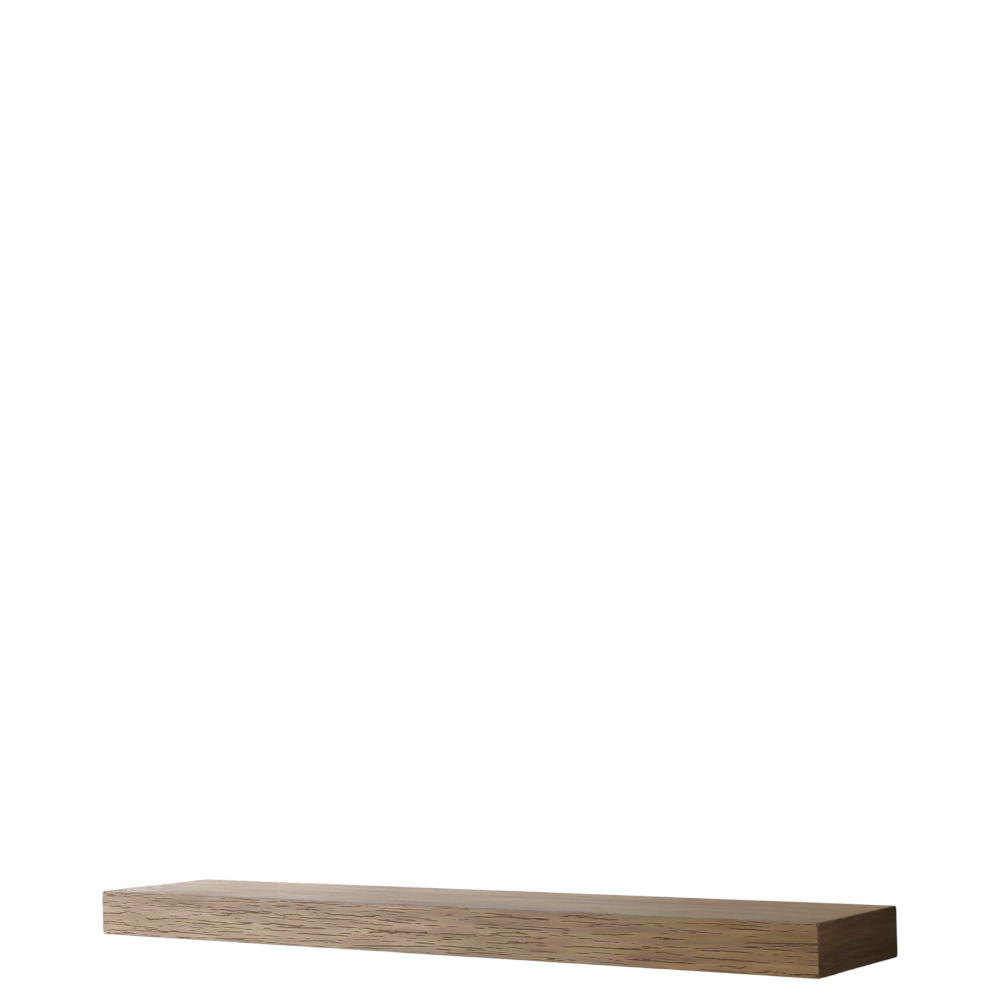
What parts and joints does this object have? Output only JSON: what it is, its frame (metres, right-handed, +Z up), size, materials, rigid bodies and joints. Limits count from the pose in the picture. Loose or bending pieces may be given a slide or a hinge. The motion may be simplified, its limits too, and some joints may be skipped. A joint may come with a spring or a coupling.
{
  "type": "floating wall shelf",
  "caption": "Long low box shelf of weathered oak that slides on to hidden steel rods welded to a wall plate, locked from below by grub screws.",
  "frame": {"origin": "centre of the bracket plate's wall face, halfway along and halfway up the shelf", "axes": "+X along the shelf, to the right as seen from the front; +Y into the wall; +Z up. The front faces -Y."},
  "size_m": [0.9144, 0.2197, 0.0508],
  "materials": {
    "weathered_oak": "matt, oiled, with open drying checks",
    "softwood_core": "sawn and planed, bare",
    "powder_coated_steel": "fine textured powder coat",
    "zinc_steel": "bright zinc plate",
    "nylon_plug": "moulded",
    "brass_insert": "turned"
  },
  "bodies": {
    "wall_bracket": {"back_plate": "powder_coated_steel", "support_rod_1": "powder_coated_steel", "support_rod_2": "powder_coated_steel", "support_rod_3": "powder_coated_steel", "support_rod_4": "powder_coated_steel", "weld_bead_1": "powder_coated_steel", "weld_bead_2": "powder_coated_steel", "weld_bead_3": "powder_coated_steel", "weld_bead_4": "powder_coated_steel", "wall_plug_1": "nylon_plug", "wall_plug_2": "nylon_plug", "wall_plug_3": "nylon_plug", "wall_plug_4": "nylon_plug", "wall_screw_1": "zinc_steel", "wall_screw_2": "zinc_steel", "wall_screw_3": "zinc_steel", "wall_screw_4": "zinc_steel"},
    "shelf": {"top_panel": "weathered_oak", "bottom_panel": "weathered_oak", "front_panel": "weathered_oak", "left_end_panel": "weathered_oak", "right_end_panel": "weathered_oak", "front_rail": "softwood_core", "rear_rail": "softwood_core", "rib_1": "softwood_core", "rib_2": "softwood_core", "rib_3": "softwood_core", "rib_4": "softwood_core", "rib_5": "softwood_core", "insert_left": "brass_insert", "insert_right": "brass_insert"},
    "lock_screw_left": {"lock_screw_left": "zinc_steel"},
    "lock_screw_right": {"lock_screw_right": "zinc_steel"}
  },
  "joints": [
    {"name": "shelf_slide", "type": "slide", "parent": "wall_bracket", "child": "shelf", "axis": [0, -1, 0], "range_m": [0, 0.165]},
    {"name": "lock_screw_left_slide", "type": "slide", "parent": "shelf", "child": "lock_screw_left", "axis": [0, 0, 1], "range_m": [-0.003, 0]},
    {"name": "lock_screw_right_slide", "type": "slide", "parent": "shelf", "child": "lock_screw_right", "axis": [0, 0, 1], "range_m": [-0.003, 0]}
  ]
}
